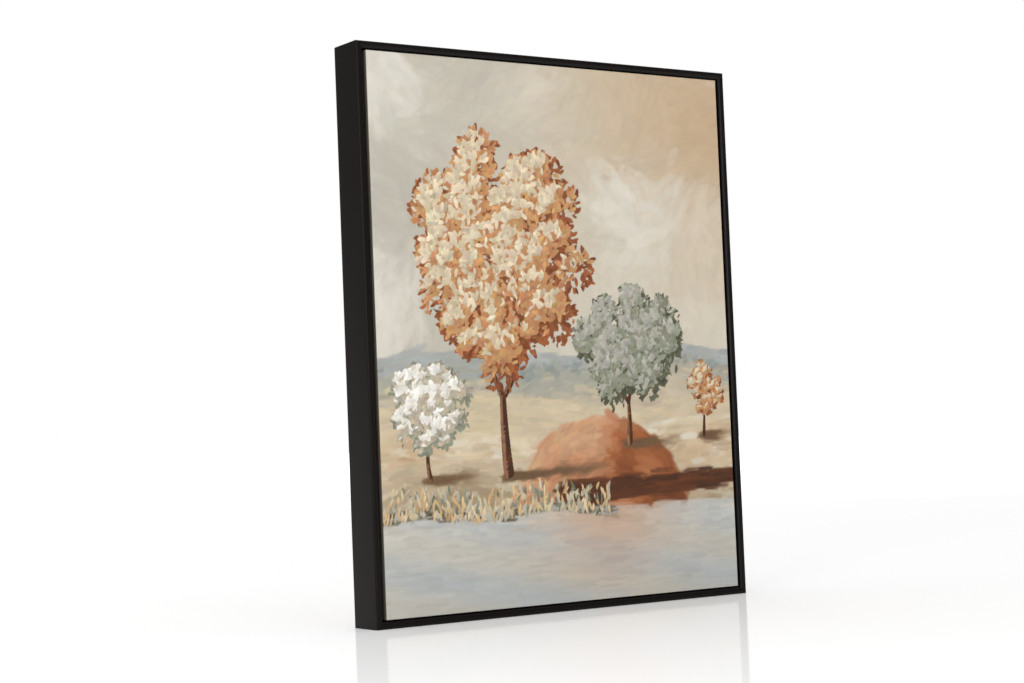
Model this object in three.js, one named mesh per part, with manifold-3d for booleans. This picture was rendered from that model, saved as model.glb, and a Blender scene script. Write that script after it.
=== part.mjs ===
// A canvas picture in a black floater frame, standing upright.
// Millimetres, +Z up, +X to the viewer's right, front face towards -Y.
// The origin is at the middle of the whole object's base.
import * as THREE from "three";
import { mergeVertices } from "three/addons/utils/BufferGeometryUtils.js";
import Module from "manifold-3d";

// ---- driving dimensions -----------------------------------------------------------------------

const CANVAS = { width: 406.4, height: 508, cloth: 0.6, flap: 29 };
const BAR = { width: 38.1, depth: 31.75, bead: 6, fall: 3 };
const FRAME = { depth: 39.7, wall: 6.6, flangeWidth: 28 };
const SHADOW_GAP = { beside: 3.7, above: 1.5 }; // lip to canvas: at its sides, and above and below it
const LIP = { outerRadius: 1.2, flat: 3.6, slopeEnd: 6.3, slopeDrop: 1.1, innerDrop: 1.5 };
const BACK_CHAMFER = 0.6;
const FIT = 0.25; // clearance between pieces that touch on the real object

const SCREW = { length: 25, shank: 3.6, head: 7.6, headDepth: 2.3, rim: 0.4, point: 4, inset: 19 };
const SCREW_REACH = { long: 170, short: 130 }; // from the middle of a side
const CROSS = { length: 4.2, width: 0.9, depth: 1.5 };
const STAPLE = { crown: 10, wire: 0.7, width: 1.2, leg: 7, shoulder: 0.3, fromFlapEdge: 5, lift: 0.1 };
const STAPLE_COUNT = { long: 7, short: 5 };
const STAPLE_MARGIN = 62; // from the canvas's corner to the first staple
const V_NAIL = { leg: 6.5, thick: 0.7, halfAngle: 47.5, recess: 0.4 };
const FRAME_V_NAILS = { height: 4.6, insets: [11, 21], names: ["outer", "inner"] };
const BAR_V_NAIL = { height: 12, inset: 21 };
const HANGER = { length: 45, height: 11, plate: 0.8, rise: 1.6, tab: 8, ramp: 2.5, inset: 14 };
const TEETH = { count: 8, depth: 1.5 };
const HANGER_NAIL = { head: 4.4, crown: 2.9, headDepth: 0.7, shank: 1.5, reach: 5.3, point: 1.6 };
const NAIL_LIFT = 0.1; // clearance under the head of a hanger nail
const BUMPER = { base: 11, rim: 10.3, top: 7.6, shoulder: 1.5, round: 0.5, height: 3 };
const BUMPER_PLACE = { inset: 14, fromCorner: 36 };
const ROUND_SIDES = 20;
const CURVE_STEPS = 5;
const PAST = 1; // how far a cutter runs past the face that it opens
const SAME_PLACE = 1e-4; // corners nearer than this are one

// ---- places worked out from them --------------------------------------------------------------
// Depths count back from the front plane, insets count inwards from the frame's outer face and a
// margin is how far in the canvas begins.

const QUARTER = Math.PI / 2;
const MARGIN = { beside: FRAME.wall + SHADOW_GAP.beside, above: FRAME.wall + SHADOW_GAP.above };
const OUTER = { width: CANVAS.width + 2 * MARGIN.beside, height: CANVAS.height + 2 * MARGIN.above };
const FRONT_Y = -(FRAME.depth + BUMPER.height) / 2;
const BAR_FRONT = CANVAS.cloth + FIT;
const BAR_BACK = BAR_FRONT + BAR.depth;
const FLAP_FRONT = BAR_BACK + FIT;
const FLAP_BACK = FLAP_FRONT + CANVAS.cloth;
const FLANGE_FRONT = FLAP_BACK + FIT;
const MITRE_BACKOFF = (FIT / 2) * Math.SQRT2; // along a length, leaves FIT between two mitre faces
const TAB_FRONT = FRAME.depth + FIT;
const TAB_BACK = TAB_FRONT + HANGER.plate;
const TAB_MIDDLE = (HANGER.length - HANGER.tab) / 2;

const HALF_WIDTH = OUTER.width / 2;
const MIDDLE = OUTER.height / 2;
const SHORT = { kind: "short", length: OUTER.width, canvasLength: CANVAS.width, margin: MARGIN.above };
const LONG = { kind: "long", length: OUTER.height, canvasLength: CANVAS.height, margin: MARGIN.beside };
const SIDES = [
  { name: "bottom", ...SHORT, turn: 0, x: 0, z: 0 },
  { name: "left", ...LONG, turn: 1, x: -HALF_WIDTH, z: MIDDLE },
  { name: "top", ...SHORT, turn: 2, x: 0, z: OUTER.height },
  { name: "right", ...LONG, turn: 3, x: HALF_WIDTH, z: MIDDLE },
];
const CORNERS = [
  { name: "bottom_left", turn: 0.5, across: -1, up: -1 },
  { name: "top_left", turn: 1.5, across: -1, up: 1 },
  { name: "top_right", turn: 2.5, across: 1, up: 1 },
  { name: "bottom_right", turn: 3.5, across: 1, up: -1 },
];

// ---- finishes -----------------------------------------------------------------------------------

function finish(color, roughness, metalness = 0) {
  return new THREE.MeshStandardMaterial({ color, roughness, metalness });
}

const blackSatin = finish(0x1f1e1c, 0.42);
const pine = finish(0xcfae7c, 0.75);
const printedCanvas = finish(0xcdbfa6, 0.85);
const zincSteel = finish(0xa9abad, 0.38, 1);
const blackSteel = finish(0x2b2a29, 0.45, 1);
const brass = finish(0xb08d4c, 0.35, 1);
const greyRubber = finish(0x3a3a3a, 0.9);

// ---- solids: closing, joining and cutting -------------------------------------------------------

const wasm = await Module();
wasm.setup();

// One vertex at each place, and no triangle without an area.
function closed(geometry) {
  const bare = geometry.clone();
  bare.deleteAttribute("normal");
  bare.deleteAttribute("uv");
  const merged = mergeVertices(bare, SAME_PLACE);
  const corners = merged.index.array;
  const kept = [];
  for (let i = 0; i < corners.length; i += 3) {
    const [a, b, c] = corners.slice(i, i + 3);
    if (a !== b && b !== c && c !== a) kept.push(a, b, c);
  }
  merged.setIndex(kept);
  merged.computeVertexNormals();
  return merged;
}

function toSolid(geometry) {
  const { attributes, index } = closed(geometry);
  const vertProperties = new Float32Array(attributes.position.array);
  const triVerts = new Uint32Array(index.array);
  return new wasm.Manifold(new wasm.Mesh({ numProp: 3, vertProperties, triVerts }));
}

function toGeometry(solid) {
  const { vertProperties, triVerts } = solid.getMesh();
  const geometry = new THREE.BufferGeometry();
  geometry.setAttribute("position", new THREE.BufferAttribute(new Float32Array(vertProperties), 3));
  geometry.setIndex(new THREE.BufferAttribute(new Uint32Array(triVerts), 1));
  geometry.computeVertexNormals();
  return geometry;
}

function cut(geometry, cutters) {
  return toGeometry(cutters.reduce((body, cutter) => body.subtract(toSolid(cutter)), toSolid(geometry)));
}

function box(width, depth, height, x, y, z) {
  return new THREE.BoxGeometry(width, depth, height).translate(x, y, z);
}

// A round piece about the Y axis, from [radius, depth] points.
function turned(points) {
  const profile = points.map(([radius, depth]) => new THREE.Vector2(radius, depth));
  return closed(new THREE.LatheGeometry(profile, ROUND_SIDES));
}

// An outline of [x, z] points, seen from the front, made solid from depth `near` back to `far`.
function plate(points, near, far) {
  const outline = new THREE.Shape(points.map(([x, z]) => new THREE.Vector2(x, z)));
  const drawn = new THREE.ExtrudeGeometry(outline, { depth: far - near, bevelEnabled: false });
  return drawn.rotateX(QUARTER).translate(0, far, 0);
}

// An outline of [x, depth] points, seen from above, made solid between two insets.
function strip(points, from, to) {
  const outline = new THREE.Shape(points.map(([x, depth]) => new THREE.Vector2(x, depth)));
  const drawn = new THREE.ExtrudeGeometry(outline, { depth: to - from, bevelEnabled: false });
  return drawn.translate(0, 0, from);
}

// ---- frames of reference ------------------------------------------------------------------------
// In a side's frame X runs along the side, Y goes back from the front plane and Z goes inwards.
// In a corner's frame Z goes inwards along the mitre.

function groupAt({ turn, x, z }) {
  const group = new THREE.Group();
  group.position.set(x, FRONT_Y, z);
  group.rotation.y = turn * QUARTER;
  return group;
}

function cornerOf({ width, height }, { turn, across, up }) {
  return { turn, x: (across * width) / 2, z: MIDDLE + (up * height) / 2 };
}

function placedFrom({ turn, x, z }, geometry) {
  return geometry.clone().rotateY(turn * QUARTER).translate(x, FRONT_Y, z);
}

// The length whose mitres, counted from the frame's outer face, meet at the canvas's corners.
function barLength(side) {
  return side.canvasLength + 2 * side.margin;
}

function atBothEnds(length, geometry) {
  return [-1, 1].map((end) => {
    return geometry.clone().rotateY((-end * QUARTER) / 2).translate((end * length) / 2, 0, 0);
  });
}

// ---- mitred lengths: a section swept to the two mitre planes ------------------------------------
// The section is drawn as (inset, depth), and each of its points ends where it meets the mitre.

function mitred(section, length) {
  const settings = { depth: 1, bevelEnabled: false, curveSegments: CURVE_STEPS };
  const geometry = new THREE.ExtrudeGeometry(section, settings);
  const { position } = geometry.attributes;
  for (let i = 0; i < position.count; i += 1) {
    const end = position.getZ(i) > 0 ? 1 : -1;
    position.setZ(i, end * (length / 2 - position.getX(i) - MITRE_BACKOFF));
  }
  return geometry.rotateY(-QUARTER);
}

// An L: a deep outer wall with a rounded, sloped lip, and a flange behind the canvas.
function railSection() {
  const { outerRadius, flat, slopeEnd, slopeDrop, innerDrop } = LIP;
  const section = new THREE.Shape();
  section.moveTo(0, FRAME.depth - BACK_CHAMFER);
  section.lineTo(0, outerRadius);
  section.absarc(outerRadius, outerRadius, outerRadius, Math.PI, 3 * QUARTER, false);
  section.lineTo(flat, 0);
  section.lineTo(slopeEnd, slopeDrop);
  section.lineTo(FRAME.wall, innerDrop);
  section.lineTo(FRAME.wall, FLANGE_FRONT);
  section.lineTo(FRAME.flangeWidth, FLANGE_FRONT);
  section.lineTo(FRAME.flangeWidth, FRAME.depth);
  section.lineTo(BACK_CHAMFER, FRAME.depth);
  section.closePath();
  return section;
}

// A bar whose raised outer bead carries the canvas clear of the rest of its face.
function barSection({ margin }) {
  const outer = margin + CANVAS.cloth + FIT;
  const inner = outer + BAR.width;
  const section = new THREE.Shape();
  section.moveTo(outer, BAR_FRONT);
  section.lineTo(outer + BAR.bead, BAR_FRONT);
  section.lineTo(outer + BAR.bead + BAR.fall, BAR_FRONT + BAR.fall);
  section.lineTo(inner, BAR_FRONT + BAR.fall);
  section.lineTo(inner, BAR_BACK);
  section.lineTo(outer, BAR_BACK);
  section.closePath();
  return section;
}

// ---- fasteners: each shape, and the hole that it sits in ----------------------------------------

// A countersunk screw with its head level with the frame's back.
function screw() {
  const back = FRAME.depth;
  const { length, shank, head, headDepth, rim, point } = SCREW;
  const body = turned([
    [0, back - length],
    [shank / 2, back - length + point],
    [shank / 2, back - headDepth],
    [head / 2, back - rim],
    [head / 2, back],
    [0, back],
  ]);
  const middle = back - CROSS.depth / 2 + PAST / 2;
  const across = box(CROSS.length, CROSS.depth + PAST, CROSS.width, 0, middle, 0);
  return cut(body, [across, across.clone().rotateY(QUARTER)]);
}

function screwHole() {
  const back = FRAME.depth;
  const { length, shank, head, headDepth, rim } = SCREW;
  return turned([
    [0, back - length - FIT],
    [shank / 2 + FIT, back - length - FIT],
    [shank / 2 + FIT, back - headDepth - FIT],
    [head / 2 + FIT, back - rim - FIT],
    [head / 2 + FIT, back + PAST],
    [0, back + PAST],
  ]).translate(0, 0, SCREW.inset);
}

// A staple: its crown lies on the folded cloth and its legs go forward into the bar.
function staple() {
  const { crown, wire, width, leg, shoulder, lift } = STAPLE;
  const inside = FLAP_BACK + lift;
  const tips = inside - leg;
  const half = crown / 2;
  const outline = [
    [-half, tips],
    [-half + wire, tips],
    [-half + wire, inside],
    [half - wire, inside],
    [half - wire, tips],
    [half, tips],
    [half, inside + wire - shoulder],
    [half - shoulder, inside + wire],
    [-half + shoulder, inside + wire],
    [-half, inside + wire - shoulder],
  ];
  return strip(outline, -width / 2, width / 2);
}

function stapleInset({ margin }) {
  return margin + CANVAS.flap - STAPLE.fromFlapEdge;
}

function stapleHoles(side) {
  const { crown, wire, width, leg } = STAPLE;
  const deep = leg + FIT + PAST;
  const middle = FLAP_BACK + PAST - deep / 2;
  const out = (crown - wire) / 2;
  const hole = box(wire + 2 * FIT, deep, width + 2 * FIT, 0, middle, stapleInset(side));
  return [-out, out].map((x) => hole.clone().translate(x, 0, 0));
}

// The outline of a V-nail across a mitre: its point is inwards and its legs open outwards.
function vNailOutline(inset, spare) {
  const half = THREE.MathUtils.degToRad(V_NAIL.halfAngle);
  const grow = spare / Math.sin(half);
  const reach = V_NAIL.leg + spare;
  const legX = Math.sin(half) * reach;
  const legZ = Math.cos(half) * reach;
  const inner = inset * Math.SQRT2 + grow;
  const outer = inset * Math.SQRT2 - V_NAIL.thick / Math.sin(half) - grow;
  return [
    [0, outer],
    [legX, outer - legZ],
    [legX, inner - legZ],
    [0, inner],
    [-legX, inner - legZ],
    [-legX, outer - legZ],
  ];
}

function vNail(inset, height, face) {
  const far = face - V_NAIL.recess;
  return plate(vNailOutline(inset, 0), far - height, far);
}

function vNailSlot(inset, height, face) {
  return plate(vNailOutline(inset, FIT), face - V_NAIL.recess - height - FIT, face + PAST);
}

// ---- hanging and resting hardware ---------------------------------------------------------------

// A strip with flat nailed tabs and a raised middle, toothed along its lower edge.
function sawtoothHanger() {
  const { length, height, plate: thick, rise, tab, ramp, inset } = HANGER;
  const end = length / 2;
  const foot = end - tab;
  const crest = foot - ramp;
  const profile = [
    [-end, TAB_FRONT],
    [-foot, TAB_FRONT],
    [-crest, TAB_FRONT + rise],
    [crest, TAB_FRONT + rise],
    [foot, TAB_FRONT],
    [end, TAB_FRONT],
    [end, TAB_BACK],
    [foot + thick / 2, TAB_BACK],
    [crest + thick / 2, TAB_BACK + rise],
    [-crest - thick / 2, TAB_BACK + rise],
    [-foot - thick / 2, TAB_BACK],
    [-end, TAB_BACK],
  ];
  const edge = inset + height / 2;
  const body = strip(profile, edge - height, edge);
  const pitch = (2 * crest) / TEETH.count;
  const gap = [
    [-pitch / 2, edge + FIT],
    [0, edge - TEETH.depth],
    [pitch / 2, edge + FIT],
  ];
  const notch = plate(gap, TAB_FRONT, TAB_BACK + rise + PAST);
  const notches = Array.from({ length: TEETH.count }, (_, i) => {
    return notch.clone().translate(-crest + pitch * (i + 0.5), 0, 0);
  });
  return cut(body, [...notches, ...hangerNailHoles()]);
}

function hangerNail() {
  const { head, crown, headDepth, shank, reach, point } = HANGER_NAIL;
  const under = TAB_BACK + NAIL_LIFT;
  const tip = FRAME.depth - reach;
  return turned([
    [0, tip],
    [shank / 2, tip + point],
    [shank / 2, under],
    [head / 2, under],
    [head / 2, under + headDepth / 2],
    [crown / 2, under + headDepth],
    [0, under + headDepth],
  ]);
}

function hangerNailHoles() {
  const { shank, reach } = HANGER_NAIL;
  const hole = turned([
    [0, FRAME.depth - reach - FIT],
    [shank / 2 + FIT, FRAME.depth - reach - FIT],
    [shank / 2 + FIT, TAB_BACK + PAST],
    [0, TAB_BACK + PAST],
  ]);
  return [-TAB_MIDDLE, TAB_MIDDLE].map((x) => hole.clone().translate(x, 0, HANGER.inset));
}

function bumper() {
  const { base, rim, top, shoulder, round, height } = BUMPER;
  return turned([
    [0, FRAME.depth + FIT],
    [base / 2, FRAME.depth + FIT],
    [base / 2, FRAME.depth + shoulder],
    [rim / 2, FRAME.depth + height - round],
    [top / 2, FRAME.depth + height],
    [0, FRAME.depth + height],
  ]);
}

// ---- what a side holds --------------------------------------------------------------------------

function screwPlaces(side) {
  const reach = SCREW_REACH[side.kind];
  return [-reach, reach];
}

function staplePlaces(side) {
  const count = STAPLE_COUNT[side.kind];
  const reach = side.canvasLength / 2 - STAPLE_MARGIN;
  return Array.from({ length: count }, (_, i) => -reach + (2 * reach * i) / (count - 1));
}

function screwHoles(side) {
  return screwPlaces(side).map((x) => screwHole().translate(x, 0, 0));
}

function allStapleHoles(side) {
  return staplePlaces(side).flatMap((x) => stapleHoles(side).map((hole) => hole.translate(x, 0, 0)));
}

function rail(side) {
  const slots = FRAME_V_NAILS.insets.map((inset) => vNailSlot(inset, FRAME_V_NAILS.height, FRAME.depth));
  const cutters = [...slots.flatMap((slot) => atBothEnds(side.length, slot)), ...screwHoles(side)];
  if (side.name === "top") cutters.push(...hangerNailHoles());
  return cut(mitred(railSection(), side.length), cutters);
}

function stretcherBar(side) {
  const slot = vNailSlot(side.margin + BAR_V_NAIL.inset, BAR_V_NAIL.height, BAR_BACK);
  const slots = atBothEnds(barLength(side), slot);
  const cutters = [...slots, ...screwHoles(side), ...allStapleHoles(side)];
  return cut(mitred(barSection(side), barLength(side)), cutters);
}

// The cloth: over the front, round the four sides and folded flat onto the back of the bars.
function canvas() {
  const { width, height, cloth, flap } = CANVAS;
  const layer = (across, up, near, far) => {
    return box(across, far - near, up, 0, FRONT_Y + (near + far) / 2, MIDDLE);
  };
  const outside = layer(width, height, 0, FLAP_BACK);
  const inside = layer(width - 2 * cloth, height - 2 * cloth, cloth, FLAP_FRONT);
  const opening = layer(width - 2 * flap, height - 2 * flap, FLAP_FRONT - PAST, FLAP_BACK + PAST);
  const holes = SIDES.flatMap((side) => {
    return [...screwHoles(side), ...allStapleHoles(side)].map((hole) => placedFrom(side, hole));
  });
  return cut(outside, [inside, opening, ...holes]);
}

// ---- the picture --------------------------------------------------------------------------------

const picture = new THREE.Group();

function add(group, name, geometry, material, x = 0, z = 0) {
  const mesh = new THREE.Mesh(geometry, material);
  mesh.name = name;
  mesh.position.set(x, 0, z);
  group.add(mesh);
}

add(picture, "canvas", canvas(), printedCanvas);

for (const side of SIDES) {
  const group = groupAt(side);
  picture.add(group);
  add(group, `frame_rail_${side.name}`, rail(side), blackSatin);
  add(group, `stretcher_bar_${side.name}`, stretcherBar(side), pine);
  screwPlaces(side).forEach((x, i) => {
    add(group, `screw_${side.name}_${i + 1}`, screw(), blackSteel, x, SCREW.inset);
  });
  staplePlaces(side).forEach((x, i) => {
    add(group, `staple_${side.name}_${i + 1}`, staple(), zincSteel, x, stapleInset(side));
  });
  if (side.name === "top") {
    add(group, "sawtooth_hanger", sawtoothHanger(), brass);
    add(group, "hanger_nail_1", hangerNail(), brass, -TAB_MIDDLE, HANGER.inset);
    add(group, "hanger_nail_2", hangerNail(), brass, TAB_MIDDLE, HANGER.inset);
  }
  if (side.name === "bottom") {
    const out = side.length / 2 - BUMPER_PLACE.fromCorner;
    add(group, "bumper_left", bumper(), greyRubber, -out, BUMPER_PLACE.inset);
    add(group, "bumper_right", bumper(), greyRubber, out, BUMPER_PLACE.inset);
  }
}

for (const corner of CORNERS) {
  const frameCorner = groupAt(cornerOf(OUTER, corner));
  const canvasCorner = groupAt(cornerOf(CANVAS, corner));
  picture.add(frameCorner, canvasCorner);
  FRAME_V_NAILS.insets.forEach((inset, i) => {
    const name = `frame_v_nail_${corner.name}_${FRAME_V_NAILS.names[i]}`;
    add(frameCorner, name, vNail(inset, FRAME_V_NAILS.height, FRAME.depth), zincSteel);
  });
  const nail = vNail(BAR_V_NAIL.inset, BAR_V_NAIL.height, BAR_BACK);
  add(canvasCorner, `stretcher_v_nail_${corner.name}`, nail, zincSteel);
}

export default picture;
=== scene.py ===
"""A canvas picture in a black floater frame: the fine shapes and the finishes of its pieces.

Metres, +Z up, +X to the viewer's right, front face towards -Y, standing on Z = 0.
The packed solids are the fixed frame. Every size that comes from them is read from their boxes.
"""

from math import atan2, cos, dist, exp, pi, radians, sin, sqrt

import bmesh
import bpy
import numpy as np
from bpy.props import FloatProperty, FloatVectorProperty, IntProperty, PointerProperty
from mathutils import Matrix, Vector


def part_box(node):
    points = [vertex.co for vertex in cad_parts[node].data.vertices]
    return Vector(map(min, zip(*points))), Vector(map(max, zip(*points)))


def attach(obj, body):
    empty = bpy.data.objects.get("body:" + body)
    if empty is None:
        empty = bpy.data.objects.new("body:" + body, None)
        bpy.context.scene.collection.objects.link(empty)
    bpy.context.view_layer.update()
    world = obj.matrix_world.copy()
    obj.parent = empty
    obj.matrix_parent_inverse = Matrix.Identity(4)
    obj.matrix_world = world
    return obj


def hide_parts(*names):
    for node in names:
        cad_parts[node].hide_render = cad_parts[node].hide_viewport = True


bl_info = {
    "name": "Framed Canvas Picture",
    "version": (1, 0, 0),
    "blender": (4, 5, 0),
    "location": "3D View > Sidebar > Picture",
    "description": "Builds the cloth, frame, stretcher and hardware of a framed canvas picture",
    "category": "Object",
}

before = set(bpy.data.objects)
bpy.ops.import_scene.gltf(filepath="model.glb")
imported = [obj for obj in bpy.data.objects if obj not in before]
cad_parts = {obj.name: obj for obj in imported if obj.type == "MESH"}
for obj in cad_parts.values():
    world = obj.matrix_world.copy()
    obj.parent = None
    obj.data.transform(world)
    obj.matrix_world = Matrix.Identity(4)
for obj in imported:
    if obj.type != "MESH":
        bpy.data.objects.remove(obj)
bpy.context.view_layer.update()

# ---- places read from the frame ----

MM = 0.001
SIDES = ("bottom", "left", "top", "right")
ALONG_X = ("bottom", "top")
CLOTH_LOW, CLOTH_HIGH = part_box("canvas")
CLOTH_MIDDLE = (CLOTH_LOW + CLOTH_HIGH) / 2
FRONT = CLOTH_LOW.y
CLOTH_DEPTH = CLOTH_HIGH.y - CLOTH_LOW.y
CLOTH_WIDTH = CLOTH_HIGH.x - CLOTH_LOW.x
CLOTH_HEIGHT = CLOTH_HIGH.z - CLOTH_LOW.z


def colour_of(text):
    """A six-digit screen colour, as numbers from 0 to 1."""
    return np.array([int(text[i : i + 2], 16) for i in (0, 2, 4)]) / 255


def linear(colour):
    """Screen colour to the linear colour that shaders and colour attributes hold."""
    colour = np.clip(colour, 0, 1)
    return np.where(colour <= 0.04045, colour / 12.92, ((colour + 0.055) / 1.055) ** 2.4)


# ---- what a user would change ----


def length_setting(name, text, value):
    limits = {"min": 0, "precision": 5, "subtype": "DISTANCE", "unit": "LENGTH"}
    return FloatProperty(name=name, description=text, default=value, **limits)


def colour_setting(name, text, value):
    default = tuple(float(x) for x in linear(colour_of(value)))
    limits = {"size": 3, "min": 0, "max": 1, "subtype": "COLOR"}
    return FloatVectorProperty(name=name, description=text, default=default, **limits)


def share_setting(name, text, value):
    return FloatProperty(name=name, description=text, default=value, min=0, max=1, subtype="FACTOR")


def count_setting(name, text, value, least):
    return IntProperty(name=name, description=text, default=value, min=least)


class ClothSettings(bpy.types.PropertyGroup):
    """The stretched canvas."""

    thickness: length_setting("Thickness", "Thickness of the primed cloth", 0.6 * MM)
    flap: length_setting("Flap", "Width folded onto the back of the bars", 29 * MM)
    front_round: length_setting("Front edge", "Radius of the fold at the front edge", 1.0 * MM)
    back_round: length_setting("Back edge", "Radius of the fold at the back edge", 0.8 * MM)
    thread: length_setting("Thread pitch", "Distance between the threads of the weave", 0.85 * MM)
    seed: count_setting("Painting seed", "Which painting the brush draws", 11, 0)
    # The sides' dark grey-brown is a side paint whose darkness also stands in for the shade in the
    # narrow gap between frame and canvas: painted shade.
    edge: colour_setting("Edge", "Colour of the paint round the sides", "6a6459")
    primer: colour_setting("Primer", "Colour of the primed flap", "e9e6df")
    raw: colour_setting("Raw cloth", "Colour of the cloth seen from behind", "cbbfa6")


class FrameSettings(bpy.types.PropertyGroup):
    """The lacquered floater frame."""

    lacquer: colour_setting("Lacquer", "Colour of the satin lacquer", "130f0d")
    gloss: share_setting("Roughness", "Roughness of the lacquer", 0.34)
    eased: length_setting("Eased edge", "Width of the eased edges", 0.22 * MM)


class StretcherSettings(bpy.types.PropertyGroup):
    """The pine bars that hold the cloth."""

    early: colour_setting("Early wood", "Colour of the soft part of a growth ring", "dcbf90")
    late: colour_setting("Late wood", "Colour of the hard part of a growth ring", "bd8d55")
    ring: length_setting("Ring width", "Usual width of a growth ring", 3.2 * MM)
    eased: length_setting("Eased edge", "Width of the eased edges", 0.5 * MM)


class HardwareSettings(bpy.types.PropertyGroup):
    """Staples, nails, screws, hanger and bumpers."""

    zinc: colour_setting("Zinc", "Colour of staples and joint nails", "b4b6b8")
    black_steel: colour_setting("Black steel", "Colour of the screws", "2a2a2b")
    brass: colour_setting("Brass", "Colour of the hanger and its nails", "c39a52")
    rubber: colour_setting("Rubber", "Colour of the bumpers", "4a4a4a")
    round_steps: count_setting("Round steps", "Sides of a turned piece", 48, 12)


# ---- the cloth's grid and the coats of paint on it ----

COLUMNS, ROWS = 246, 308  # squares of the front, about 1.65 mm each
FOLD_STEPS = SIDE_STEPS = 4
# The slot of the sides gets a dark paint that also stands in for their shade in the gap (painted
# shade).
PAINTED, SHADE_PAINTED_SIDES, PRIMED, RAW = range(4)  # material slots of the cloth
MAP_HALF, MAP_MARGIN = 0.496, 0.004  # half height and left margin of the outside on the flat map
RAW_SHARE, RAW_PLACE = 0.18, (0.924, 0.5)  # size and place of the inside on the flat map
COATS = ("ground", "wood", "dark_leaves", "leaves", "light_leaves")
SPREAD = 3.5  # millimetres that a dab's colour reaches past its edge, so that the edge keeps it

# ---- the painting ----
# Its marks are placed and sized in millimetres, from the canvas's lower left corner. What stands in
# the landscape is placed by shares of the canvas's width and height.

CANVAS_W, CANVAS_H = CLOTH_WIDTH / MM, CLOTH_HEIGHT / MM
STEP_X, STEP_Z = CANVAS_W / COLUMNS, CANVAS_H / ROWS
OUTSIDE = 10  # how far outside the canvas a stroke may start
WARM_WHITE, CREAM, SAND, TAN = (colour_of(t) for t in ("dfdace", "cec5b2", "ccb99d", "c2a483"))
STONE, MIST, SLATE = (colour_of(t) for t in ("b2aea4", "a3aaae", "8b9596"))
SAGE, OLIVE, MOSS = (colour_of(t) for t in ("9a9c8b", "6b6c56", "474838"))
TERRACOTTA, RUST, BURNT, UMBER = (colour_of(t) for t in ("c68f6c", "a4623a", "733f25", "402a1c"))
OCHRE, STRAW, SNOW = (colour_of(t) for t in ("c49c68", "ddc8a0", "f3efe8"))


def held(value, low=0.0, high=1.0):
    return min(max(value, low), high)


def smooth(t):
    t = held(t)
    return t * t * (3 - 2 * t)


def between(a, b, t):
    return a + (b - a) * held(t)


# Strokes: how many, shortest, longest, thinnest, widest, and in the sky also how well they cover.
SKY_STROKES = ((420, 55, 120, 20, 40, 0.8), (800, 25, 60, 8, 18, 0.55), (900, 10, 30, 4, 9, 0.5))
HILL_STROKES = ((300, 30, 70, 8, 16), (650, 12, 30, 4, 8))
BANK_STROKES = ((420, 24, 46, 8, 14), (900, 12, 23, 4, 7))
WATER_STROKES = ((420, 50, 120, 7, 13), (800, 16, 55, 3, 6))
SHADOW_STROKES, SHORE_STROKES, GRASS_BLADES, FAR_TREES, FAR_TREE_STROKES = 620, 420, 420, 46, 6
WATER_LINE, SHORE_END = 0.168, 0.62  # height of the water, and how far right its bare shore goes
SHADOW = between(BURNT, OLIVE, 0.5)
# Each tree's shadow: the foot's place, and the shadow's length.
SHADOWS = ((0.335, 0.236, 120), (0.685, 0.286, 60), (0.125, 0.236, 50), (0.915, 0.296, 30))
# Each trunk: the foot's place, then the angle, length and width, and how often it forks.
TRUNKS = (
    (0.335, 0.235, 1.62, 74, 12, 3),
    (0.685, 0.285, 1.56, 40, 7, 2),
    (0.125, 0.235, 1.6, 30, 5, 2),
    (0.915, 0.295, 1.5, 22, 4, 2),
)
# Each crown: its middle, half width and half height, leaves, leaf size, dabs in a coat, masses.
CROWNS = (
    (0.925, 0.385, 24, 28, "autumn", 2.8, 500, 20),
    (0.70, 0.475, 68, 56, "sage", 4.0, 2200, 46),
    (0.34, 0.64, 98, 114, "autumn", 4.6, 5600, 64),
    (0.125, 0.365, 44, 42, "blossom", 3.8, 1500, 46),
)
PALE_SAGE, PALE_STRAW = between(SAGE, STONE, 0.6), between(STRAW, WARM_WHITE, 0.4)
# The tones of the dark, the middle and the light leaves.
LEAVES = {
    "sage": ((MOSS, OLIVE), (between(OLIVE, SAGE, 0.5), SAGE), (PALE_SAGE, STONE)),
    "autumn": ((BURNT, RUST), (between(RUST, TERRACOTTA, 0.6), OCHRE), (SAND, PALE_STRAW)),
    "blossom": ((between(OLIVE, SAGE, 0.4), SAGE), (PALE_SAGE, SAND), (SNOW, WARM_WHITE)),
}
GRASSES = ((OLIVE, SAGE), (STRAW, OCHRE), (STRAW, STONE))
# The same three coats of a crown: share of the dabs, how far they spread, least light they need.
LEAF_COATS = ((0.8, 1.2, -9), (1.0, 1.1, 0.36), (1.0, 1.0, 0.7))
LIGHT_FROM = 2.2  # radians from the right round by the top, so from the upper left


def each_stroke(sizes):
    """The sizes of a table of strokes, as often as the table says."""
    for count, *size in sizes:
        for _ in range(count):
            yield size


def shore_wave(x):
    return 0.006 * sin(x / 23)


def span(middle, reach, step, last):
    """The grid lines within reach of a place."""
    first = max(0, int((middle - reach) / step))
    return slice(first, max(first, min(last + 1, int((middle + reach) / step) + 2)))


class Drift:
    """Values from 0 to 1 that wander slowly over the canvas."""

    def __init__(self, rng, cell):
        self.cell = cell
        self.values = rng.random((int(CANVAS_H / cell) + 4, int(CANVAS_W / cell) + 4))

    def at(self, x, z):
        rows, columns = self.values.shape
        x = held(x / self.cell + 1, 0, columns - 2.001)
        z = held(z / self.cell + 1, 0, rows - 2.001)
        i, j = int(x), int(z)
        u, v = smooth(x - i), smooth(z - j)
        low = self.values[j, i] * (1 - u) + self.values[j, i + 1] * u
        high = self.values[j + 1, i] * (1 - u) + self.values[j + 1, i + 1] * u
        return low * (1 - v) + high * v


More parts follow.
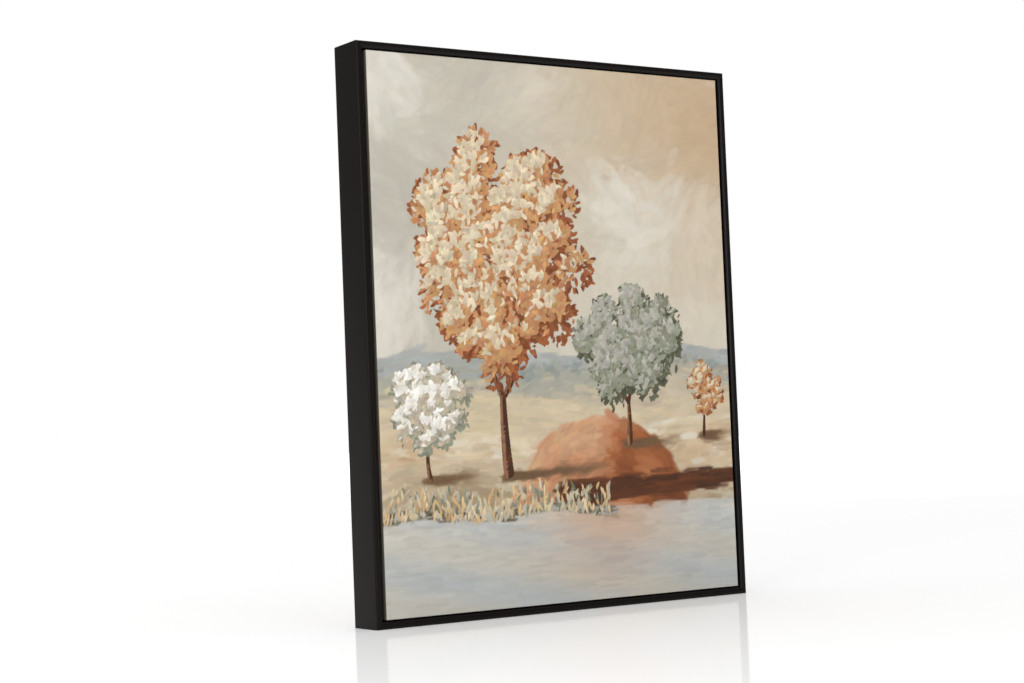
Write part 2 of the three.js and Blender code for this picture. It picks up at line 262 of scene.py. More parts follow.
class Coat:
    """One coat of paint: a colour at each point, and how far inside a dab's edge the point lies."""

    def __init__(self, rng):
        self.rng = rng
        self.colour = np.tile(CREAM, (ROWS + 1, COLUMNS + 1, 1))
        self.inside = np.full((ROWS + 1, COLUMNS + 1), -SPREAD)

    def near(self, x, z, length, width, angle, bend):
        """The points round a mark, and their places along and across it, 1 at its edges."""
        reach = max(length, width) / 2 + SPREAD
        columns, rows = span(x, reach, STEP_X, COLUMNS), span(z, reach, STEP_Z, ROWS)
        dx = np.arange(columns.start, columns.stop) * STEP_X - x
        dz = (np.arange(rows.start, rows.stop) * STEP_Z - z)[:, None]
        along = (dx * cos(angle) + dz * sin(angle)) / (length / 2)
        across = (dz * cos(angle) - dx * sin(angle)) / (width / 2) + bend * (along**2 - 0.4)
        return (rows, columns), along, across

    def brush(self, x, z, length, width, angle, colour, cover=0.8, bend=0.0):
        """A soft-edged stroke that thins out towards its end."""
        window, along, across = self.near(x, z, length, width, angle, bend)
        hairs = self.rng.random(max(4, int(width / 2)))
        marks = np.interp((across + 1) / 2 * (len(hairs) - 1), np.arange(len(hairs)), hairs)
        edge = np.clip((1 - np.abs(along) ** 3 - np.abs(across) ** 3) * 2.2, 0, 1)
        lift = np.clip(1.2 - marks * (0.35 + 0.65 * (along + 1) / 2), 0, 1)
        share = (cover * edge * lift)[..., None]
        paint = colour * (0.98 + 0.05 * marks[..., None])
        self.colour[window] += share * (paint - self.colour[window])

    def dab(self, x, z, length, width, angle, colour, bend=0.0):
        """A crisp dab laid over those before it."""
        window, along, across = self.near(x, z, length, width, angle, bend)
        inside = (1 - np.hypot(along, across)) * min(length, width) / 2
        over = (inside > -0.4) | (inside > self.inside[window])
        shade = 1 + 0.05 * np.clip(along, -1, 1)[..., None] * np.ones(3)
        self.colour[window] = np.where(over[..., None], colour * shade, self.colour[window])
        self.inside[window] = np.maximum(inside, self.inside[window])


class Landscape:
    """Pale hills, a clay bank and four trees by still water."""

    def __init__(self, seed):
        self.rng = np.random.default_rng(seed)
        self.within, self.chance = self.rng.uniform, self.rng.random
        self.broad, self.small = Drift(self.rng, 95), Drift(self.rng, 30)
        self.coats = [Coat(self.rng) for _ in COATS]
        self.ground, self.wood, *self.leaves = self.coats

    def stray(self, amount):
        return self.rng.normal(0, amount)

    def vary(self, colour, amount):
        return colour * (1 + self.stray(amount)) + self.rng.normal(0, amount / 7, 3)

    def mark(self, short, long, thin, wide, angle):
        return self.within(short, long), self.within(thin, wide), angle

    def stroke(self, x, z, mark, colour, uneven, cover=0.8, bend=0.0):
        """A stroke on the ground coat, whose colour differs a little from the next one's."""
        self.ground.brush(x, z, *mark, self.vary(colour, uneven), cover, bend)

    # ---- the ground coat ----

    def sky_colour(self, x, z):
        right, up = x / CANVAS_W, z / CANVAS_H
        warm = held((right - 0.3) * 1.5) * held((up - 0.42) * 2.1)
        colour = between(between(STONE, CREAM, 0.25 + right), TAN, 0.85 * warm)
        colour = between(colour, WARM_WHITE, 0.5 * (1 - abs(up - 0.5) * 4) * right)
        return between(colour, WARM_WHITE, 0.85 * smooth((self.broad.at(x, z) - 0.5) * 2.8))

    def sky(self):
        for *size, cover in each_stroke(SKY_STROKES):
            x = self.within(-OUTSIDE, CANVAS_W + OUTSIDE)
            z = self.within(0.34, 1.02) * CANVAS_H
            angle = 0.4 + 4 * (self.broad.at(z, x) - 0.5) + self.stray(0.5)
            colour = self.sky_colour(x + self.stray(14), z + self.stray(14))
            mark, cover_here = self.mark(*size, angle), cover * self.within(0.5, 1)
            self.stroke(x, z, mark, colour, 0.02, cover_here, self.stray(0.25))

    def skyline(self, heights):
        """A ridge through heights spaced evenly across the canvas."""
        places = np.linspace(0, CANVAS_W, len(heights))

        def top(x):
            i = held(int(np.searchsorted(places, x)) - 1, 0, len(heights) - 2)
            share = smooth((x - places[i]) / (places[i + 1] - places[i]))
            height = heights[i] * (1 - share) + heights[i + 1] * share
            return height * CANVAS_H + (self.small.at(x, 40) - 0.5) * 7

        return top

    def hill(self, heights, lit, shaded, depth, accent=STRAW):
        top = self.skyline(heights)
        for short, long, thin, wide in each_stroke(HILL_STROKES):
            x, width = self.within(-OUTSIDE, CANVAS_W + OUTSIDE), self.within(thin, wide)
            down = self.chance() ** 1.4 * depth * CANVAS_H
            z = top(x) - down - width * 0.45
            slope = atan2(top(x + 6) - top(x - 6), 12)
            shade = down / (0.7 * depth * CANVAS_H) + (self.small.at(x, z) - 0.5) * 1.2
            colour = between(lit, shaded, shade)
            if self.chance() < 0.15:
                colour = between(colour, accent, self.within(0.3, 0.8))
            angle = slope + self.stray(0.09)
            self.stroke(x, z, (self.within(short, long), width, angle), colour, 0.03, 0.85)

    def bank(self, centre, half, foot, height):
        """A round clay bank, lit from the left."""
        for size in each_stroke(BANK_STROKES):
            across = self.within(-1, 1)
            up = self.chance() ** 0.8 * sqrt(max(0, 1 - abs(across) ** 2.4))
            x, z = (centre + across * half) * CANVAS_W, (foot + up * height) * CANVAS_H
            shade = 0.5 + 0.42 * across + 0.3 * (0.5 - up) + 0.5 * (self.small.at(x, z) - 0.5)
            colour = between(between(STRAW, TERRACOTTA, shade * 3.2), RUST, (shade - 0.28) * 2.2)
            colour = between(colour, BURNT, (shade - 0.66) * 2.6)
            angle = -across * 0.95 * (0.35 + up) + self.stray(0.2)
            self.stroke(x, z, self.mark(*size, angle), colour, 0.035, 0.85, 0.2)

    def water(self):
        """Still water, with the clay bank mirrored in it."""
        for short, long, thin, wide in each_stroke(WATER_STROKES):
            x = self.within(-OUTSIDE, CANVAS_W + OUTSIDE)
            z = self.chance() * WATER_LINE * CANVAS_H
            near = z / (WATER_LINE * CANVAS_H)
            colour = between(MIST, STONE, 0.5 + 0.5 * sin(x / 41 + z / 9))
            colour = between(colour, WARM_WHITE, 0.25 + 0.45 * near * self.chance())
            mirrored = exp(-(((x / CANVAS_W - 0.62) / 0.17) ** 2)) * near
            colour = between(colour, TERRACOTTA, 0.55 * mirrored)
            length = self.within(short, long) * (1.1 - 0.5 * near)
            mark = (length, self.within(thin, wide), self.stray(0.05))
            self.stroke(x, z, mark, colour, 0.018)

    def shore(self):
        """The bank's long dark shadow towards the right, and the bare shore on the left."""
        for _ in range(SHADOW_STROKES):
            along = self.chance()
            off = self.stray(0.0085) * (1.15 - 0.5 * along)
            x = (0.50 + 0.54 * along) * CANVAS_W
            z = (WATER_LINE + 0.030 + 0.020 * along + off) * CANVAS_H
            colour = between(UMBER, BURNT, self.chance() * 0.9)
            self.ground.brush(x, z, *self.mark(18, 50, 2.5, 6, 0.05), colour)
        for _ in range(SHORE_STROKES):
            x = self.within(-0.02, SHORE_END) * CANVAS_W
            z = (WATER_LINE + 0.003 + shore_wave(x) + self.stray(0.004)) * CANVAS_H
            colour = between(OLIVE, UMBER, self.chance()) if self.chance() < 0.55 else STONE
            self.ground.brush(x, z, *self.mark(8, 30, 2, 4, 0), colour, 0.7)

    def cast_shadow(self, x, z, length):
        """A soft shadow on the ground, from a trunk's foot towards the right."""
        for _ in range(int(length * 1.6)):
            along = self.chance() ** 1.3
            off = self.stray(1.6 + 2.5 * along)
            place = (x + along * length, z + 0.05 * along * length + off)
            self.stroke(*place, self.mark(10, 26, 2.5, 5, 0.06), SHADOW, 0.04, 0.5 * (1.1 - along))

    def distant_trees(self, top):
        for _ in range(FAR_TREES):
            x = self.within(0, 1) * CANVAS_W
            z = top(x) + self.within(-2, 4)
            for _ in range(FAR_TREE_STROKES):
                px, pz = x + self.stray(4), z + self.stray(2.2)
                colour = self.vary(between(SAGE, SLATE, self.chance()), 0.04)
                self.ground.brush(px, pz, *self.mark(4, 9, 3.5, 6, 0.3), colour, 0.6)

    # ---- the trees and the grass, in crisp dabs ----

    def limb(self, x, z, angle, length, width, forks):
        """A tapering branch, lit on its left side where it is thick, which forks at its end."""
        steps = max(4, int(length / 4))
        swing = self.stray(0.25)
        for i in range(steps):
            t = i / steps
            turn = angle + swing * (t - 0.5)
            x, z = x + cos(turn) * length / steps, z + sin(turn) * length / steps
            reach, thick = length / steps * 2.4, max(2.1, width * (1 - 0.45 * t))
            dark = self.vary(between(UMBER, BURNT, 0.5 * self.chance()), 0.04)
            self.wood.dab(x, z, reach, thick, turn, dark)
            if thick > 4:
                lit = self.vary(between(BURNT, TAN, 0.45), 0.06)
                self.wood.dab(x - 0.26 * thick, z, reach, thick * 0.34, turn, lit)
        if forks:
            for side in (-1, 1):
                out = turn + side * self.within(0.25, 0.5)
                self.limb(x, z, out, length * self.within(0.6, 0.78), width * 0.55, forks - 1)
            if self.chance() < 0.5:
                self.limb(x, z, turn + self.stray(0.15), length * 0.7, width * 0.5, forks - 1)

    def puffs(self, x, z, half_width, half_height, count):
        """The round masses of a crown, larger towards its middle, with a lobed outline."""
        first = self.within(0, pi)
        for i in range(count):
            turn = i * 2.4 + self.stray(0.2)
            lobes = 1 + 0.05 * sin(3 * turn + first) + 0.05 * sin(7 * turn + 2 * first)
            out = sqrt((i + 0.5) / count) * 0.88 * lobes + self.stray(0.035)
            px = x + half_width * out * cos(turn) * (1 - 0.22 * max(0, -out * sin(turn)))
            pz = z + half_height * out * sin(turn)
            yield px, pz, self.within(0.11, 0.25) * half_width * (1.25 - 0.5 * out)

    def crown(self, x, z, half_width, half_height, kind, leaf, dabs, count):
        """Masses of leaves in three tones, each mass and the whole lit from the upper left."""
        masses = list(self.puffs(x, z, half_width, half_height, count))
        for coat, tones, (share, spread, least) in zip(self.leaves, LEAVES[kind], LEAF_COATS):
            for _ in range(int(dabs * share)):
                px, pz, radius = masses[self.rng.integers(len(masses))]
                turn = self.within(0, 2 * pi)
                out = sqrt(self.chance()) * spread * 1.15
                local = out * cos(turn - LIGHT_FROM)
                whole = ((pz - z) / half_height - (px - x) / half_width) / 2
                if 0.5 + 0.36 * local + 0.24 * whole + self.stray(0.1) < least:
                    continue
                size = leaf * self.within(0.6, 1.25)
                place = (px + radius * out * cos(turn), pz + radius * out * sin(turn))
                colour = self.vary(between(*tones, self.chance()), 0.05)
                mark = (size * 1.8, size * 0.75, turn + self.stray(0.6))
                coat.dab(*place, *mark, colour, self.stray(0.3))

    def grasses(self):
        kinds = list(zip(self.leaves, GRASSES))
        for _ in range(GRASS_BLADES):
            x = self.within(0, SHORE_END) * CANVAS_W
            z = (WATER_LINE + self.chance() ** 2 * 0.05 + shore_wave(x)) * CANVAS_H
            coat, tones = kinds[self.rng.choice(3, p=(0.35, 0.35, 0.3))]
            lean = pi / 2 + self.stray(0.35)
            colour = self.vary(between(*tones, self.chance()), 0.04)
            coat.dab(x, z, *self.mark(6, 14, 1.8, 2.8, lean), colour, self.stray(0.5))

    def paint(self):
        self.sky()
        haze, moor = between(MIST, STONE, 0.5), between(SAGE, STONE, 0.45)
        self.hill((0.46, 0.475, 0.455, 0.485, 0.47), haze, moor, 0.07, MIST)
        far = (0.425, 0.418, 0.43, 0.452, 0.44)
        self.hill(far, between(SAGE, STONE, 0.55), between(SAND, STONE, 0.3), 0.10)
        self.distant_trees(self.skyline(far))
        self.hill((0.372, 0.39, 0.372, 0.36, 0.402), between(STRAW, STONE, 0.4), SAND, 0.14)
        near = (0.335, 0.325, 0.30, 0.325, 0.35)
        self.hill(near, between(STRAW, CREAM, 0.5), TAN, 0.16, WARM_WHITE)
        self.hill((0.262, 0.275, 0.25, 0.235, 0.245), SAND, between(TAN, OLIVE, 0.35), 0.10, CREAM)
        self.bank(0.60, 0.225, 0.165, 0.165)
        self.water()
        self.shore()
        for draw, table in ((self.cast_shadow, SHADOWS), (self.limb, TRUNKS), (self.crown, CROWNS)):
            for across, up, *rest in table:
                draw(across * CANVAS_W, up * CANVAS_H, *rest)
        self.grasses()
        return self.coats


# ---- shader arithmetic ----


def arithmetic(operation, swapped=False):
    """An operator of Signal that adds one Math node."""

    def method(self, other):
        return self.math(operation, *((other, self) if swapped else (self, other)))

    return method


class Signal:
    """One output of a node. Arithmetic on a number adds Math nodes."""

    def __init__(self, graph, socket):
        self.graph, self.socket = graph, socket

    def math(self, operation, *values, clamp=False):
        settings = {"operation": operation, "use_clamp": clamp}
        return self.graph.node("ShaderNodeMath", settings, dict(enumerate(values)))

    __add__ = __radd__ = arithmetic("ADD")
    __sub__ = arithmetic("SUBTRACT")
    __rsub__ = arithmetic("SUBTRACT", swapped=True)
    __mul__ = __rmul__ = arithmetic("MULTIPLY")
    __truediv__ = arithmetic("DIVIDE")
    __pow__ = arithmetic("POWER")

    def wave(self):
        return self.math("SINE", self)

    def size(self):
        return self.math("ABSOLUTE", self)

    def held(self):
        """Kept between 0 and 1."""
        return self.math("ADD", self, 0, clamp=True)


class Graph:
    """A node tree under construction."""

    def __init__(self, tree):
        self.tree = tree
        self.tree.nodes.clear()

    def feed(self, socket, value):
        if isinstance(value, Signal):
            self.tree.links.new(value.socket, socket)
        elif hasattr(socket.default_value, "__len__") and len(socket.default_value) == 4:
            socket.default_value = (*value[:3], 1)
        else:
            socket.default_value = value

    def node(self, kind, settings, inputs, output=0):
        """Adds a node, makes its settings, then feeds its sockets. Returns one of its outputs."""
        made = self.tree.nodes.new(kind)
        for name, value in settings.items():
            setattr(made, name, value)
        for name, value in inputs.items():
            self.feed(made.inputs[name], value)
        return None if output is None else Signal(self, made.outputs[output])


class Surface(Graph):
    """A material with one Principled shader."""

    def __init__(self, name, **fixed):
        self.material = bpy.data.materials.new(name)
        self.material.use_nodes = True
        super().__init__(self.material.node_tree)
        self.shader = self.tree.nodes.new("ShaderNodeBsdfPrincipled")
        shown = Signal(self, self.shader.outputs[0])
        self.node("ShaderNodeOutputMaterial", {}, {"Surface": shown}, None)
        self.set(**fixed)

    def set(self, **sockets):
        """Feeds the shader's own sockets: base_color feeds Base Color, and so on."""
        for name, value in sockets.items():
            socket = "Specular IOR Level" if name == "specular" else name.replace("_", " ").title()
            self.feed(self.shader.inputs[socket], value)

    def place(self, scale=(1, 1, 1)):
        """Object coordinates, stretched."""
        where = self.node("ShaderNodeTexCoord", {}, {}, "Object")
        return self.node("ShaderNodeMapping", {}, {"Vector": where, "Scale": scale})

    def cloth_place(self):
        return self.node("ShaderNodeUVMap", {"uv_map": "cloth"}, {})

    def back_place(self):
        """Object coordinates as seen from behind: across, up and nothing in depth."""
        where = self.place()
        return self.vector(self.part(where, 0), self.part(where, 2), 0)

    def part(self, vector, axis):
        return self.node("ShaderNodeSeparateXYZ", {}, {0: vector}, axis)

    def vector(self, x, y, z):
        return self.node("ShaderNodeCombineXYZ", {}, {0: x, 1: y, 2: z})

    def noise(self, scale, detail, place=None, roughness=0.55, distortion=0.0):
        inputs = {"Vector": place or self.place(), "Scale": scale, "Detail": detail}
        inputs |= {"Roughness": roughness, "Distortion": distortion}
        return self.node("ShaderNodeTexNoise", {}, inputs, "Fac")

    def painted(self, coat, output):
        return self.node("ShaderNodeAttribute", {"attribute_name": coat}, {}, output)

    def blend(self, share, a, b):
        return self.node("ShaderNodeMix", {"data_type": "RGBA"}, {0: share, 6: a, 7: b}, 2)

    def shade(self, colour, value):
        """A colour made lighter or darker by a number round 1."""
        return self.node("ShaderNodeVectorMath", {"operation": "SCALE"}, {0: colour, 3: value})

    def finished(self, colour, roughness, height, distance, strength):
        """The material, bumped by a height from 0 to 1 that stands for a distance."""
        inputs = {"Height": height, "Distance": distance, "Strength": strength}
        bumped = self.node("ShaderNodeBump", {}, inputs)
        self.set(base_color=colour, roughness=roughness, normal=bumped)
        return self.material


# ---- finishes ----

# Knots sit at the points of a cell pattern. Distances from a point, as shares of a cell.
KNOT_CELLS, KNOT_COLOUR = 8.5, "6b4326"  # cells in a metre
KNOT_EDGE, KNOT_SOFT = 0.07, 0.02
SWIRL_EDGE, SWIRL_SOFT = 0.32, 0.25
PITH_INSET, PITH_AHEAD = 12 * MM, 35 * MM  # the rings' centre, from a bar's outer side and its face
ALONG_GRAIN, ACROSS_GRAIN = 30, 900
DAB_EDGE = 0.4  # millimetres over which a dab's edge thins out


def satin_lacquer(settings):
    """Sprayed black lacquer: even, with a faint orange peel and slightly uneven sheen."""
    surface = Surface("black_satin_lacquer", specular=0.145)
    cloud, peel = surface.noise(7, 2), surface.noise(420, 2)
    handled = surface.noise(46, 4, surface.place((1, 1, 0.3)))
    colour = surface.shade(settings.lacquer, 0.86 + 0.28 * cloud)
    roughness = settings.gloss - 0.05 + 0.07 * cloud + 0.05 * handled
    return surface.finished(colour, roughness, peel, 0.02 * MM, 0.5)


def pine(settings, side):
    """Planed pine: growth rings cut along the bar, fine fibres and a knot here and there."""
    surface = Surface("planed_pine_" + side, specular=0.3)
    where, turn = surface.place(), SIDES.index(side)
    run, width = (0, 2) if side in ALONG_X else (2, 0)
    along = surface.part(where, run) - CLOTH_MIDDLE[run]
    across = (surface.part(where, width) - CLOTH_MIDDLE[width]).size()
    deep = surface.part(where, 1)
    cells = {"Vector": surface.vector(across, along + 0.37 * turn, 0), "Scale": KNOT_CELLS}
    knot_at = surface.node("ShaderNodeTexVoronoi", {"voronoi_dimensions": "2D"}, cells, "Distance")
    knot = ((KNOT_EDGE - knot_at) / KNOT_SOFT).held()
    swirl = ((SWIRL_EDGE - knot_at) / SWIRL_SOFT).held()
    wander = surface.noise(3.2, 2, surface.vector(across * 3, along + 1.7 * turn, deep * 3))
    pith_across = CLOTH_HIGH[width] - CLOTH_MIDDLE[width] - PITH_INSET
    radius = ((across - pith_across) ** 2 + (deep - (FRONT - PITH_AHEAD)) ** 2) ** 0.5
    years = surface.noise(230, 1, surface.vector(radius, 0.5 * turn, wander * 0.02))
    rings = radius / settings.ring + 5.5 * wander + 1.1 * swirl + 2.6 * years
    late = (0.5 + 0.5 * (rings * (2 * pi)).wave()) ** 2.6 * (0.25 + 1.2 * years).held()
    grain = [ALONG_GRAIN if axis == run else ACROSS_GRAIN for axis in range(3)]
    fibre = surface.noise(1, 3, surface.place(grain))
    wood = surface.blend(late * 0.75, settings.early, settings.late)
    wood = surface.shade(wood, 0.9 + 0.2 * fibre)
    colour = surface.blend(knot, wood, linear(colour_of(KNOT_COLOUR)))
    roughness = 0.62 + 0.12 * fibre - 0.1 * late
    return surface.finished(colour, roughness, fibre + 0.4 * late, 0.06 * MM, 0.6)


def metal(name, colour, roughness, scratch=(60, 60, 60), tarnish=0.2):
    """Plated or blackened steel with fine handling marks."""
    surface = Surface(name, metallic=1.0)
    cloud, marks = surface.noise(160, 3), surface.noise(22, 3, surface.place(scratch))
    colour = surface.shade(colour, 1 - tarnish / 2 + tarnish * cloud)
    roughness = roughness - 0.06 + 0.12 * marks + 0.08 * cloud
    return surface.finished(colour, roughness, marks, 0.015 * MM, 0.5)


def rubber(settings):
    """Moulded rubber with a fine matt grain and a little dust."""
    surface = Surface("matt_rubber", specular=0.3)
    grain, dust = surface.noise(2600, 2), surface.noise(240, 4)
    colour = surface.shade(settings.rubber, 0.8 + 0.4 * dust)
    return surface.finished(colour, 0.8 + 0.12 * grain, grain, 0.03 * MM, 0.6)


def weave(surface, settings, place):
    """Height of a plain weave, from 0 to 1, that follows the cloth round its folds."""
    turns = 2 * pi / settings.thread
    slub = surface.noise(160, 2, place) * 1.6
    warp = (surface.part(place, 0) * turns + slub).wave()
    weft = (surface.part(place, 1) * turns + slub).wave()
    return 0.5 + 0.25 * (warp * weft) + 0.12 * (warp + weft)


def painted_cloth(settings):
    """Each coat of the painting covers those below it, with a dry, ragged edge."""
    surface = Surface("painted_canvas", specular=0.22)
    place = surface.cloth_place()
    threads = weave(surface, settings, place)
    ragged, bristle = surface.noise(1500, 3, place), surface.noise(320, 4, place, 0.65, 1.2)
    colour = surface.painted(COATS[0], "Color")
    relief = 0.5 * bristle
    for coat in COATS[1:]:
        inside = (surface.painted(coat, "Alpha") - 0.5) * (2 * SPREAD) + 0.7 * (ragged - 0.5)
        covered = (inside / DAB_EDGE + 0.5).held()
        colour = surface.blend(covered, colour, surface.painted(coat, "Color"))
        relief = relief + 0.12 * covered
    colour = surface.shade(colour, 0.93 + 0.07 * bristle + 0.06 * threads)
    roughness = 0.66 - 0.08 * bristle
    return surface.finished(colour, roughness, 0.75 * threads + 0.5 * relief, 0.11 * MM, 0.7)


# On the sides this canvas gets a dark paint that also stands in for the shade in the gap round the
# canvas: painted shade.
def plain_cloth(settings, name, colour, roughness=0.8, depth=0.1 * MM, lies_flat=False):
    """Canvas of one colour: painted round the sides, primed on the flap, raw on the inside."""
    surface = Surface(name, specular=0.2)
    place = surface.back_place() if lies_flat else surface.cloth_place()
    threads, slubs = weave(surface, settings, place), surface.noise(700, 3, place)
    colour = surface.shade(colour, 0.84 + 0.16 * threads + 0.12 * (slubs - 0.5))
    return surface.finished(colour, roughness + 0.06 * slubs, threads + 0.3 * slubs, depth, 0.7)


# ---- making pieces ----

MERGE_WITHIN, FLAT_WITHIN = 0.002 * MM, radians(0.5)  # corners and faces of a packed solid
SMOOTH_BELOW = radians(40)  # faces that meet at less than this are shaded as one
EASE_STEPS, EASED_FROM = 2, radians(30)
STAPLE_EDGE, SCREW_EDGE, NAIL_EDGE, HANGER_EDGE = 0.16 * MM, 0.1 * MM, 0.08 * MM, 0.12 * MM
# A bumper: its heights as shares of its own, and its widths as shares of its base's.
BUMPER_RIM, BUMPER_DOME = 0.35, 0.55
BUMPER_FLAT, BUMPER_ROUND, BUMPER_FOOT = 0.70, 0.24, 0.97
BUMPER_STEPS, BUMPER_CHAMFER = 7, 0.1 * MM


def placed(bm, name, materials):
    """Turns a bmesh into an object of the scene."""
    mesh = bpy.data.meshes.new(name)
    bm.to_mesh(mesh)
    bm.free()
    for material in materials:
        mesh.materials.append(material)
    thing = bpy.data.objects.new(name, mesh)
    bpy.context.scene.collection.objects.link(thing)
    return thing


def finish_piece(bm, name, materials, nodes):
    """Turns a bmesh into a piece that rides on the picture and stands for its packed nodes."""
    piece = placed(bm, name, materials)
    piece.data.shade_smooth()
    piece.data.set_sharp_from_angle(angle=SMOOTH_BELOW)
    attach(piece, "root")
    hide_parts(*nodes)
    return piece


def joined_up(node):
    """A copy of a node's solid with its corners merged and its flat faces whole."""
    bm = bmesh.new()
    bm.from_mesh(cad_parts[node].data)
    bmesh.ops.remove_doubles(bm, verts=bm.verts, dist=MERGE_WITHIN)
    bmesh.ops.dissolve_limit(bm, angle_limit=FLAT_WITHIN, verts=bm.verts, edges=bm.edges)
    return bm


def copied(node, name, material, eased):
    """A node's solid, its edges eased by a small round that catches the light."""
    piece = finish_piece(joined_up(node), name, [material], [node])
    bevel = piece.modifiers.new("eased_edges", "BEVEL")
    bevel.width, bevel.segments, bevel.profile = eased, EASE_STEPS, 0.5
    bevel.limit_method, bevel.angle_limit = "ANGLE", EASED_FROM
    bevel.harden_normals = True


def copies(start, named, material, eased):
    """Copies each node whose name has this start, and gives each copy's name another start."""
    for node in nodes_like(start):
        copied(node, node.replace(start, named), material, eased)


def bumper_profile(base, low, high):
    """(radius, depth) points of a bumper, from the middle of its foot to that of its crown."""
    height = high - low
    rim = (base, low + BUMPER_RIM * height)
    foot = [(0, low), (base * BUMPER_FOOT, low), (base, low + BUMPER_CHAMFER), rim]
    turns = np.linspace(0, pi / 2, BUMPER_STEPS)
    widths = [base * (BUMPER_FLAT + BUMPER_ROUND * cos(t)) for t in turns]
    depths = [high - height * BUMPER_DOME * (1 - sin(t)) for t in turns]
    return [*foot, *zip(widths, depths), (0, high)]


def turned(profile, steps):
    """A closed round body about the Y axis. Its profile starts and ends on the axis."""
    bm = bmesh.new()
    points = [bm.verts.new((radius, depth, 0)) for radius, depth in profile]
    edges = [bm.edges.new(pair) for pair in zip(points, points[1:])]
    about = {"cent": (0, 0, 0), "axis": (0, 1, 0), "angle": 2 * pi}
    bmesh.ops.spin(bm, geom=points + edges, steps=steps, use_merge=True, **about)
    bmesh.ops.remove_doubles(bm, verts=bm.verts, dist=0.001 * MM)
    bmesh.ops.recalc_face_normals(bm, faces=bm.faces)
    return bm


def nodes_like(start):
    return sorted(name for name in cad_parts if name.startswith(start))


# ---- the stretched cloth ----

# A folded corner: how far it stays from the rail and from the flap's edge, how wide it is at the
# flap's edge and by the rail, its height over the flap, and the round of its edges.
FOLD_FROM_RAIL, FOLD_FROM_EDGE, FOLD_WIDTHS = 0.3 * MM, 0.4 * MM, (6 * MM, 15 * MM)
FOLD_LIFT, FOLD_ROUND = 0.02 * MM, 0.45 * MM


def widen(bm, edges, inset, depth):
    """Carries an open edge on to a rectangle with another inset from the outline and depth."""
    grown = bmesh.ops.extrude_edge_only(bm, edges=edges)["geom"]
    verts = [item for item in grown if isinstance(item, bmesh.types.BMVert)]
    wide, high = max(v.co.x for v in verts), max(v.co.z for v in verts)
    factors = ((CLOTH_WIDTH / 2 - inset) / wide, 1, (CLOTH_HEIGHT / 2 - inset) / high)
    bmesh.ops.scale(bm, vec=factors, verts=verts)
    bmesh.ops.translate(bm, vec=(0, depth - verts[0].co.y, 0), verts=verts)
    made = (item for item in grown if isinstance(item, bmesh.types.BMEdge))
    return verts, [edge for edge in made if edge.is_boundary]


def folds(settings):
    """(inset, depth, slot) of each ring of the cloth, from the front's edge round to its inside."""
    front, back, thick = settings.front_round, settings.back_round, settings.thickness
    quarter = [pi / 2 * (i + 1) / FOLD_STEPS for i in range(FOLD_STEPS)]
    side = np.linspace(front, CLOTH_DEPTH - back, SIDE_STEPS + 1)[1:]
    rings = [(front * (1 - sin(t)), front * (1 - cos(t)), PAINTED) for t in quarter]
    rings += [(0, float(depth), SHADE_PAINTED_SIDES) for depth in side]
    rings += [(back * (1 - cos(t)), CLOTH_DEPTH - back * (1 - sin(t)), PRIMED) for t in quarter]
    rings += [(settings.flap, CLOTH_DEPTH, PRIMED), (settings.flap, CLOTH_DEPTH - thick, PRIMED)]
    return rings + [(thick, CLOTH_DEPTH - thick, RAW), (thick, thick, RAW)]


def front_half(settings):
    """Half the width and half the height of the flat front, inside its rounded edge."""
    return CLOTH_WIDTH / 2 - settings.front_round, CLOTH_HEIGHT / 2 - settings.front_round


def cloth_mesh(settings):
    """The front as a fine grid, its edge folded round the bars and back along its own inside.

    The layer "flat" keeps each corner's place on the front's outline and its way out from there."""
    bm = bmesh.new()
    half = front_half(settings)
    upright = Matrix.Rotation(pi / 2, 4, "X") @ Matrix.Diagonal((*half, 1, 1))
    bmesh.ops.create_grid(bm, x_segments=COLUMNS, y_segments=ROWS, size=1, matrix=upright)
    flat = bm.verts.layers.float_vector.new("flat")
    for vert in bm.verts:
        vert[flat] = (vert.co.x / half[0], vert.co.z / half[1], 0)
    way, last = 0, (settings.front_round, 0)
    edges = [edge for edge in bm.edges if edge.is_boundary]
    for inset, depth, slot in folds(settings):
        first_face = len(bm.faces)
        verts, edges = widen(bm, edges, inset, depth)
        way += dist(last, (inset, depth))
        last = (inset, depth)
        for vert in verts:
            across = vert.co.x / (CLOTH_WIDTH / 2 - inset)
            vert[flat] = (across, vert.co.z / (CLOTH_HEIGHT / 2 - inset), way)
        bm.faces.ensure_lookup_table()
        for face in bm.faces[first_face:]:
            face.material_index = slot
    inside = bmesh.ops.holes_fill(bm, edges=edges, sides=0)["faces"]
    middle = bmesh.ops.poke(bm, faces=inside)
    middle["verts"][0][flat] = (0, 0, way)
    for face in middle["faces"]:
        face.material_index = RAW
    bmesh.ops.recalc_face_normals(bm, faces=bm.faces)
    return bm


